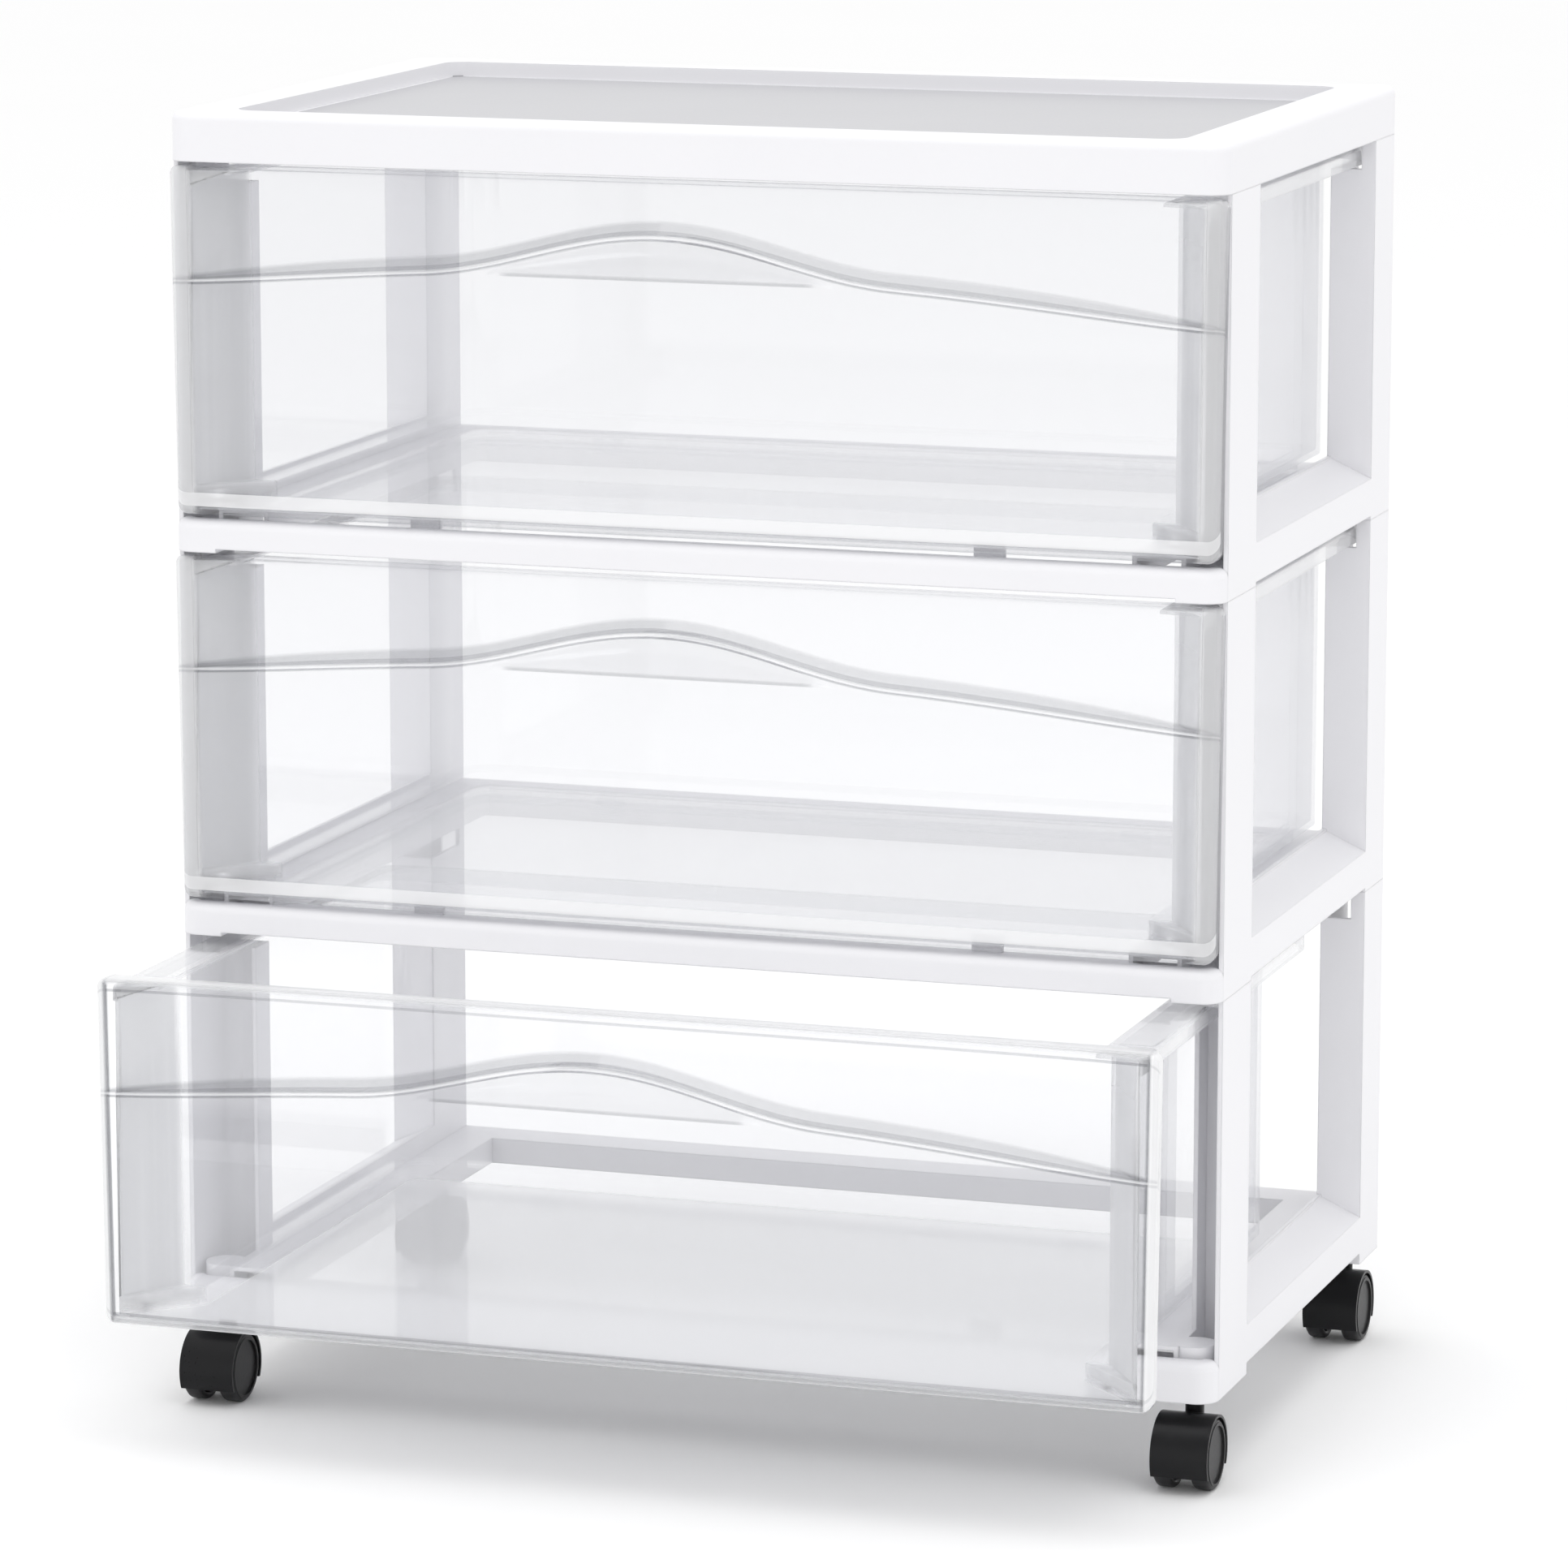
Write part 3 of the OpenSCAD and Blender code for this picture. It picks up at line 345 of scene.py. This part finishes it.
def front_rings(x, half, height, shut):
    """The closed upright section of a drawer front at each x, as (inwards, down from its top), and
    two numbers for each point: how milky it looks, from frost and painted highlight, and how grey,
    from painted shade. Each corner is given with how much is cut off it and with the marks of the
    side after it. The outer skin comes first, from the back of the top edge down to the back of the
    foot edge, and then the inner skin back up. The pocket's depth is a parabola from its roof to
    its foot, and painted shade lies in it. The turned-back edge of an open drawer is painted milky
    as lit, and that of a shut one painted grey as in shade. The painted shade grows towards the
    ends."""
    # The edge's painted light, the painted shade of its lines, its foot and its top, and its band's
    # frost.
    milk_and_light, line, foot_shade, top_shade, haze = SHUT_EDGE if shut else OPEN_EDGE
    e = half - np.abs(x)
    step = standing_out(FACE_STEP, FACE_STEP_END, x, half)
    ledge = standing_out(LEDGE, LEDGE_END, x, half)
    edge = wave(x)
    roof = edge + ledge + LIP
    under = roof + POCKET_ROOF
    foot = np.maximum(POCKET_DROP, roof + POCKET_LEAST)
    deep = SCOOP * np.maximum(POCKET_DROP - roof, 0)
    wider = np.clip((e - TOP_FLANGE_IN) / TOP_FLANGE_RUN, 0, 1)
    top = FLANGE + (TOP_FLANGE - FLANGE) * wider
    zero = np.zeros_like(x)
    low = zero + height
    s = np.linspace(0, 1, POCKET_ROWS)[1:-1]
    pocket = np.clip((deep - POCKET_FROM) / POCKET_RUN, 0, 1)
    # Painted shade in the pocket under the lip.
    shaded = pocket * POCKET_SHADE
    scoop = [(deep * (1 - v * v), under + (foot - under) * v, 0, 0, shaded) for v in s]
    outer = [
        (top, zero, FINE, milk_and_light, top_shade),
        (step, zero, EDGE, 0, 0),
        (step, zero + EDGE_LINE[0], CRISP, 0, line),
        (step, zero + EDGE_LINE[1], CRISP, 0, 0),
        (step, edge, SOFT, 0, WAVE_SHADE),
        (step * LEDGE_MIDDLE_STEP, edge + ledge * LEDGE_MIDDLE, CRISP, 0, LEDGE_SHADE),
        (zero, edge + ledge, LIP_CUT, LIP_HIGHLIGHT, 0),
        (zero, edge + ledge + LIP / 2, CRISP, 0, LIP_SHADE),
        (zero, roof, LIP_FOOT_CUT, 0, shaded),
        (deep, under, SOFT, 0, shaded),
        *scoop,
        (zero, foot, FINE, 0, pocket * POCKET_FOOT_SHADE),
        (zero, foot + POCKET_LINE, CRISP, 0, 0),
        (zero, low - HAZE_HIGH, CRISP, haze, 0),
        (zero, low - FOOT_LINE[0], CRISP, haze, line),
        (zero, low - FOOT_LINE[1], CRISP, 0, foot_shade),
        (zero, low, EDGE, milk_and_light, foot_shade),
        (zero + FLANGE, low, FINE, milk_and_light, foot_shade),
    ]
    back = [
        (WALL + d, u + POCKET_THIN * v, 0, 0, 0) for (d, u, *_), v in zip(scoop, s, strict=True)
    ]
    inner = [
        (zero + FLANGE, low - WALL, FINE, milk_and_light, 0),
        (zero + WALL, low - WALL, INNER, 0, 0),
        (zero + WALL, foot + POCKET_THIN, FINE, 0, 0),
        *back[::-1],
        (deep + WALL, under - WALL, FINE, 0, 0),
        (step + WALL, roof + LIP_THIN - WALL, FINE, 0, 0),
        (step + WALL, zero + WALL, INNER, milk_and_light, 0),
        (top, zero + WALL, FINE, milk_and_light, 0),
    ]
    bend = corner_cut(e, EDGE)
    outer = [(np.maximum(d, bend), *rest) for d, *rest in outer]
    inner = [(np.where(e < INNER_FROM, FLANGE, d), *rest) for d, *rest in inner]
    inwards, down, cut, frost_and_highlight, painted_shade = zip(*outer, *inner, strict=True)
    ring = soften(np.array([inwards, down]).transpose(2, 1, 0), np.array(cut))
    frost_and_light = sides_to_points(np.array(frost_and_highlight)) + zero[:, None]
    shade_marks = sides_to_points(np.stack([zero + value for value in painted_shade], axis=-1))
    # Painted shade grows towards the two ends.
    shade_marks = shade_marks * (1 + END_SHADE * (np.abs(x)[:, None] / half) ** END_POWER)
    ends = SHUT_ENDS if shut else OPEN_ENDS
    # Painted light and painted shade at the two ends.
    ends_light, ends_shade = (np.interp(e, *table)[:, None] for table in ends)
    return ring, {"frost_and_highlight": np.maximum(frost_and_light, ends_light), "painted_shade": np.maximum(shade_marks, ends_shade)}


def front_points(low, high, shut):
    """Sections of the front set side by side, close together at its two ends: each is squeezed by
    the round corners there, and the whole narrows evenly towards its foot."""
    half, height = high.x, FRONT_HIGH
    reach = half - END_SECTIONS[-1]
    middle = np.linspace(-reach, reach, MIDDLE_SECTIONS)[1:-1]
    x = np.concatenate([END_SECTIONS - half, middle, half - END_SECTIONS[::-1]])
    e = half - np.abs(x)
    ring, marks = front_rings(x, half, height, shut)
    top, foot = corner_cut(e, HEAD_R)[:, None], corner_cut(e, FOOT_CORNER_R)[:, None]
    drop = top + ring[..., 1] * (height - top - foot) / height
    across = x[:, None] * (1 - TAPER * drop / height / half)
    return np.stack([across, low.y + ring[..., 0], high.z - drop], axis=-1), marks


def clear_plastic(name):
    """Clear polystyrene as a skin that lets what is behind it through unbent. It mirrors more at a
    slant, by the 5th power of the slant. It is greyer by the 3rd power of the slant and where a
    point is marked with painted shade, and milky where a point is marked frosted, a mark that also
    carries painted highlights. Where both marks meet, its milk is painted grey as shade."""
    material, out, place = new_material(name)
    # Per point: frost with painted highlight, and painted shade.
    frost_and_highlight = place.add("ShaderNodeAttribute", {"attribute_name": "frost_and_highlight"}, {}, output=2)
    painted_shade = place.add("ShaderNodeAttribute", {"attribute_name": "painted_shade"}, {}, output=2)
    slant = place.add("ShaderNodeLayerWeight", {}, {"Blend": 0.5}, output=1)
    ripple = noise(place, RIPPLE_SCALE)
    waves = place.add(
        "ShaderNodeBump",
        {},
        {"Strength": RIPPLE_STRENGTH, "Distance": RIPPLE_DEEP, "Height": ripple},
    )
    squeezed = {0: place, 1: STREAK_SQUEEZE}
    upright = place.add("ShaderNodeVectorMath", {"operation": "MULTIPLY"}, squeezed)
    streak = noise(upright, STREAK_SCALE, detail=1.0) * STREAK_SHARE + STREAK_LEAST
    # Painted shade greys the milk.
    milk_shade = frost_and_highlight * painted_shade * streak
    slanted = slant.maths("POWER", slant, SLANT_GREY_POWER)
    # Painted shade greys what passes through.
    grey = slanted * SLANT_GREY + painted_shade * (1 - frost_and_highlight) * PAINTED_SHADE_GREY
    passing = place.add("ShaderNodeBsdfTransparent", {}, {"Color": grey.blend(*PASSING)})
    milk_and_light = place.add(
        "ShaderNodeBsdfPrincipled",
        {},
        {"Base Color": milk_shade.blend(*MILKS), "Roughness": MILK_ROUGHNESS},
    )
    mirror = place.add(
        "ShaderNodeBsdfPrincipled",
        {},
        {
            "Base Color": MIRROR_COLOUR,
            "Metallic": 1.0,
            "Roughness": ripple * MIRROR_DRIFT + MIRROR_ROUGHNESS,
            "Normal": waves,
        },
    )
    milked = frost_and_highlight * MILK_SHARE + MILK_LEAST
    milky = place.add("ShaderNodeMixShader", {}, {0: milked, 1: passing, 2: milk_and_light})
    share = slant.maths("POWER", slant, MIRROR_POWER) * MIRROR_SHARE + MIRROR_LEAST
    skin = place.add("ShaderNodeMixShader", {}, {0: share, 1: milky, 2: mirror})
    material.node_tree.links.new(skin.socket, out.inputs["Surface"])
    return material


clear = clear_plastic("clear_polystyrene")
for level in LEVELS:
    low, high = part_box(level + "_drawer")
    points, marks = front_points(low, high, level != OPEN_LEVEL)
    drawer_part(level, "front", points, front_faces(*points.shape[:2]), marks)

# ---------------------------------------------------------------------------------------------
# Drawer tubs, moulded in one with the fronts. A tub stands behind its front on the tier's
# shelves, with flared front corners, round back corners, a stepped foot and a banded rim.
# ---------------------------------------------------------------------------------------------
TUB_DEEP = 0.1757

# The foot, the wall and the rim: how far out each stands, its radius round the back corners, its
# height, and the sizes of its edges.
FOOT_X, WALL_X, RIM_X = HALF_CABINET - 0.043, HALF_CABINET - 0.031, HALF_CABINET - 0.009
FOOT_R, WALL_R, RIM_R = 0.012, 0.024, 0.0295
FOOT_HIGH, RIM_HIGH, RIM_DROP, RIM_EDGE = 0.012, 0.009, 0.0025, 0.003
FOOT_IN, FLARE_IN, SKIRT_EDGE = 0.004, 0.006, 0.0006

# The flare at the front corners: its width, its depth, how far along it the wall has nearly its
# own width, where the wall runs straight, and the wall's thickness across the slant.
FLARE_X, FLARE_DEEP, FLARE_SHARE, STRAIGHT_FROM = RIM_X - WALL / 2, 0.032, 0.04, 0.0013
FLARE_WALL, FLARE_FOOT_WALL = WALL * 1.2, WALL * 1.4
BEND_STEPS = 13
CLEARANCE, JUMP = 0.00005, 0.0001

# Marks: the rim's painted highlight and the floor's frost, and how far the flare's painted shade
# keeps from the floor and the rim.
RIM_HIGHLIGHT, FLOOR_FROST, OPEN_FLOOR_FROST = 0.4, 0.35, 0.75
FLARE_SHADE_FROM, FLARE_SHADE_TO = 0.004, 0.0005


def tub_section(hand, low, high, floor, haze):
    """The upright section of the tub's wall and rim, on the left (hand -1) or the right (1). Each
    point is (how far out, how far out where the flare meets the front, its radius round the back's
    corner, its height, how much is cut off it, how milky: painted highlight on the rim and frost on
    the floor). The outer skin comes first, from the floor up, then the inner skin down."""
    rim = high.z - RIM_DROP
    step_z, under_rim, skirt = floor + FOOT_HIGH, rim - WALL, rim - RIM_HIGH
    ledge = standing_out(LEDGE, LEDGE_END, hand * FLARE_X, high.x)
    ledge_z = high.z - wave(hand * FLARE_X) - ledge - LIP + WALL
    inner_wall, inner_foot = FLARE_X - FLARE_WALL, FLARE_X - FLARE_FOOT_WALL
    thin_wall, thin_foot = (WALL_X - WALL, WALL_R - WALL), (FOOT_X - WALL, FOOT_R - WALL)
    corners = [
        (FOOT_X - FOOT_IN, FLARE_X - FLARE_IN, FOOT_R - FOOT_IN, floor, 0, 0),
        (FOOT_X, FLARE_X, FOOT_R, floor, SOFT, 0),
        (FOOT_X, FLARE_X, FOOT_R, step_z - WALL, FINE, 0),
        (WALL_X, FLARE_X, WALL_R, step_z - WALL, SOFT, 0),
        (WALL_X, FLARE_X, WALL_R, ledge_z - JUMP, 0, 0),
        (WALL_X, FLARE_X, WALL_R, ledge_z + JUMP, 0, 0),
        # The rim's painted highlight makes it milky.
        (WALL_X, FLARE_X, WALL_R, under_rim, FINE, RIM_HIGHLIGHT),
        (RIM_X - WALL, RIM_X - WALL, RIM_R - WALL, under_rim, SOFT, RIM_HIGHLIGHT),
        (RIM_X - WALL, RIM_X - WALL, RIM_R - WALL, skirt, SKIRT_EDGE, RIM_HIGHLIGHT),
        (RIM_X, RIM_X, RIM_R, skirt, SKIRT_EDGE, RIM_HIGHLIGHT),
        (RIM_X, RIM_X, RIM_R, rim, RIM_EDGE, RIM_HIGHLIGHT),
        (thin_wall[0], thin_wall[0], thin_wall[1], rim, SOFT, RIM_HIGHLIGHT),
        (thin_wall[0], thin_wall[0], thin_wall[1], under_rim, 0, RIM_HIGHLIGHT),
        (thin_wall[0], inner_wall, thin_wall[1], under_rim - JUMP, 0, 0),
        (thin_wall[0], inner_wall, thin_wall[1], ledge_z + JUMP, 0, 0),
        (thin_wall[0], inner_wall, thin_wall[1], ledge_z - JUMP, 0, 0),
        (thin_wall[0], inner_wall, thin_wall[1], step_z, FINE, 0),
        (thin_foot[0], inner_foot, thin_foot[1], step_z, SOFT, 0),
        (thin_foot[0], inner_foot, thin_foot[1], floor + WALL, SOFT, haze),
        (FOOT_X - FOOT_IN, FLARE_X - FLARE_IN, FOOT_R - FOOT_IN, floor + WALL, 0, haze),
    ]
    table = np.array(corners)
    cut = table[:, 4]
    out, ahead, bend = (soften(table[:, [k, 3]], cut)[:, 0] for k in range(3))
    up = soften(table[:, [0, 3]], cut)[:, 1]
    face = np.where(up > ledge_z, standing_out(FACE_STEP, FACE_STEP_END, ahead, high.x), 0)
    return out, ahead, bend, up, face, sides_to_points(table[:, 5])


def tub_points(low, high, floor, haze):
    """The tub's section carried from the left side of the front, round the back and to its right
    side. Behind the front, the wall runs in from the flare's width to its own, then straight on,
    and round each back corner on a quarter circle. The flare is marked frosted and with painted
    shade, which together make it a grey milk."""
    back_y = high.y - RIM_R
    columns, frost_and_light, shade_marks = [], [], []
    for hand in (-1, 1):
        out, ahead, bend, up, face, frost_and_highlight = tub_section(hand, low, high, floor, haze)
        start = low.y + WALL + face + CLEARANCE
        front = np.stack([hand * ahead, start, up], axis=-1)
        turn = np.stack([hand * out, 0 * out + low.y + FLARE_DEEP, up], axis=-1)
        corner = [
            np.stack([hand * (out - bend + bend * cos(a)), back_y + bend * sin(a), up], axis=-1)
            for a in np.linspace(0, pi / 2, BEND_STEPS)
        ]
        near_turn = turn + (front - turn) * FLARE_SHARE
        rows = [front, near_turn, turn + [0, STRAIGHT_FROM, 0], *corner]
        # Painted shade on the flare, kept off the floor and the rim.
        shaded_flare = (up > floor + FLARE_SHADE_FROM) & (up < high.z - RIM_DROP - WALL - FLARE_SHADE_TO)
        painted_shade = [shaded_flare * (k < 2) for k in range(len(rows))][:: -hand]
        columns += rows[:: -hand]
        shade_marks += painted_shade
        frost_and_light += [np.maximum(frost_and_highlight, k) for k in painted_shade]
    return np.array(columns), {"frost_and_highlight": np.array(frost_and_light), "painted_shade": np.array(shade_marks, float)}


def tub_faces(columns, ring):
    """The wall's faces, the end strips where it meets the front, and the floor's two sides."""
    faces = grid_faces(columns, ring, wrap=False)
    last = (columns - 1) * ring
    faces += [list(range(ring)), list(range(last, last + ring))]
    floor_under = [c * ring for c in range(columns)]
    floor_top = [c * ring + ring - 1 for c in range(columns)]
    return faces + [floor_under, floor_top, [0, last, last + ring - 1, ring - 1]]


for level in LEVELS:
    low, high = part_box(level + "_drawer")
    haze = OPEN_FLOOR_FROST if level == OPEN_LEVEL else FLOOR_FROST
    points, marks = tub_points(low, high, high.z - TUB_DEEP, haze)
    drawer_part(level, "tub", points, tub_faces(*points.shape[:2]), marks)

# ---------------------------------------------------------------------------------------------
# Drawer stops. Two flat tabs, moulded in one with the tub, hang under the back of its floor. They
# meet two stops on the tier's front rail when the drawer is fully out.
# ---------------------------------------------------------------------------------------------
TAB_X, TAB_WIDE, TAB_THICK = HALF_CABINET * 0.54, 0.016, 0.003
TAB_BEHIND, TAB_DROP, TAB_ROOT = 0.3025, 0.0073, 0.002


def tab_points(low, floor):
    """The two tabs. Each is a box, and its corners are every mix of its low and high x, y and z."""
    along = low.y + TAB_BEHIND + np.array([0, TAB_THICK])
    up = floor + np.array([-TAB_DROP, TAB_ROOT])
    across = [hand * TAB_X + np.array([-TAB_WIDE, TAB_WIDE]) / 2 for hand in (-1, 1)]
    return np.array([np.stack(np.meshgrid(x, along, up, indexing="ij"), axis=-1) for x in across])


def tab_faces():
    """The six sides of each tab, whose eight corners count up z first, then y, then x."""
    low_x, high_x, low_y, high_y = (0, 1, 3, 2), (4, 6, 7, 5), (0, 4, 5, 1), (2, 3, 7, 6)
    low_z, high_z = (0, 2, 6, 4), (1, 5, 7, 3)
    one = np.array([low_x, high_x, low_y, high_y, low_z, high_z])
    return np.concatenate([one, one + 8]).tolist()


for level in LEVELS:
    low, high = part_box(level + "_drawer")
    drawer_part(level, "stops", tab_points(low, high.z - TUB_DEEP), tab_faces(), {})

# ---------------------------------------------------------------------------------------------
# Caster stems, grip rings and axles, turned in steel and zinc plated. A split grip ring holds
# each stem in its socket in the base, and the axle carries the caster's two wheels.
# ---------------------------------------------------------------------------------------------
CORNERS = [end + "_" + side for end in ("front", "rear") for side in ("left", "right")]
PLATINGS = (0.52, 0.53, 0.55, 1), (0.66, 0.67, 0.69, 1)
PLATED_ROUGHNESS, CLOUD_SCALE, TURNING_SCALE, TURNING_SHARE = 0.16, 60.0, 2500.0, 0.08


def plated(name, roughness):
    """Plated steel, cloudy in its colour, with a very fine roughness from turning."""
    material, out, place = new_material(name)
    rings = noise(place, TURNING_SCALE, detail=1.0)
    shader = place.add(
        "ShaderNodeBsdfPrincipled",
        {},
        {
            "Base Color": noise(place, CLOUD_SCALE).blend(*PLATINGS),
            "Metallic": 1.0,
            "Roughness": rings * TURNING_SHARE + roughness,
        },
    )
    material.node_tree.links.new(shader.socket, out.inputs["Surface"])
    return material


steel = plated("plated_steel", PLATED_ROUGHNESS)
for corner in CORNERS:
    paint(steel, corner + "_stem", corner + "_grip_ring", corner + "_axle")

# ---------------------------------------------------------------------------------------------
# Caster hoods. Each is one moulding in black nylon over both wheels. It turns on the pin of the
# stem, and its web between the wheels holds the axle.
# ---------------------------------------------------------------------------------------------
HOOD_BLACKS = (0.006, 0.006, 0.007, 1), (0.010, 0.010, 0.011, 1)
black = moulded("black_hood", HOOD_BLACKS, roughness=0.3, grain=0.1, edge=0.0005, ior=1.3)
for corner in CORNERS:
    paint(black, corner + "_hood")

# ---------------------------------------------------------------------------------------------
# Wheels. Two for each caster, moulded in black nylon and a little duller than the hoods. They
# turn on the axle, one on each side of the web.
# ---------------------------------------------------------------------------------------------
WHEEL_BLACKS = (0.010, 0.010, 0.011, 1), (0.018, 0.018, 0.019, 1)
tread = moulded("black_wheel", WHEEL_BLACKS, roughness=0.42, grain=0.15, edge=0.0003, ior=1.4)
for corner in CORNERS:
    paint(tread, corner + "_outer_wheel", corner + "_inner_wheel")

# ---------------------------------------------------------------------------------------------
# Studio: a pale floor, a bright even room and one broad soft lamp overhead, with the camera a
# little above the cart and to its right.
# ---------------------------------------------------------------------------------------------
FLOOR_SIZE, FLOOR_CORNERS, FLOOR_SCALE = 60.0, ((-1, -1), (1, -1), (1, 1), (-1, 1)), 2.0
FLOOR_GREYS, FLOOR_ROUGHNESS = ((0.945, 0.945, 0.945, 1), (0.955, 0.955, 0.955, 1)), 0.9
ROOM_STRENGTH = 1.03
LAMP_SIZE, LAMP_POWER, LAMP_PLACE, LAMP_TILT = 3.0, 42.0, (0.3, -0.9, 4.0), 6
LENS, SENSOR = 165.17, 36
CAMERA_PLACE, CAMERA_DIP, CAMERA_TURN = (1.17375, -3.47829, 1.00585), 10.526, 18.47
PASS_THROUGH, REFRACTED, BOUNCES = 32, 24, 28

plane = bpy.data.meshes.new("studio_floor")
plane.from_pydata(
    [(x * FLOOR_SIZE, y * FLOOR_SIZE, 0) for x, y in FLOOR_CORNERS], [], [(0, 1, 2, 3)]
)
ground = bpy.data.objects.new("studio_floor", plane)
bpy.context.scene.collection.objects.link(ground)
material, out, place = new_material("pale_floor")
pale = noise(place, FLOOR_SCALE).blend(*FLOOR_GREYS)
sockets = {"Base Color": pale, "Roughness": FLOOR_ROUGHNESS}
matt = place.add("ShaderNodeBsdfPrincipled", {}, sockets)
material.node_tree.links.new(matt.socket, out.inputs["Surface"])
plane.materials.append(material)

world = bpy.data.worlds.new("studio")
world.use_nodes = True
bpy.context.scene.world = world
background = world.node_tree.nodes["Background"]
background.inputs["Strength"].default_value = ROOM_STRENGTH
background.inputs["Color"].default_value = (1, 1, 1, 1)
lamp = bpy.data.lights.new("soft_lamp", "AREA")
lamp.shape = "SQUARE"
lamp.size = LAMP_SIZE
lamp.energy = LAMP_POWER
softbox = bpy.data.objects.new("soft_lamp", lamp)
softbox.location = LAMP_PLACE
softbox.rotation_euler = (radians(LAMP_TILT), 0, 0)
bpy.context.scene.collection.objects.link(softbox)

camera = bpy.data.cameras.new("camera")
camera.lens = LENS
camera.sensor_width = SENSOR
viewer = bpy.data.objects.new("camera", camera)
viewer.location = CAMERA_PLACE
viewer.rotation_euler = (radians(90 - CAMERA_DIP), 0, radians(CAMERA_TURN))
bpy.context.scene.collection.objects.link(viewer)
bpy.context.scene.camera = viewer
bpy.context.scene.view_settings.view_transform = "Standard"
bpy.context.scene.cycles.transmission_bounces = REFRACTED
bpy.context.scene.cycles.transparent_max_bounces = PASS_THROUGH
bpy.context.scene.cycles.max_bounces = BOUNCES
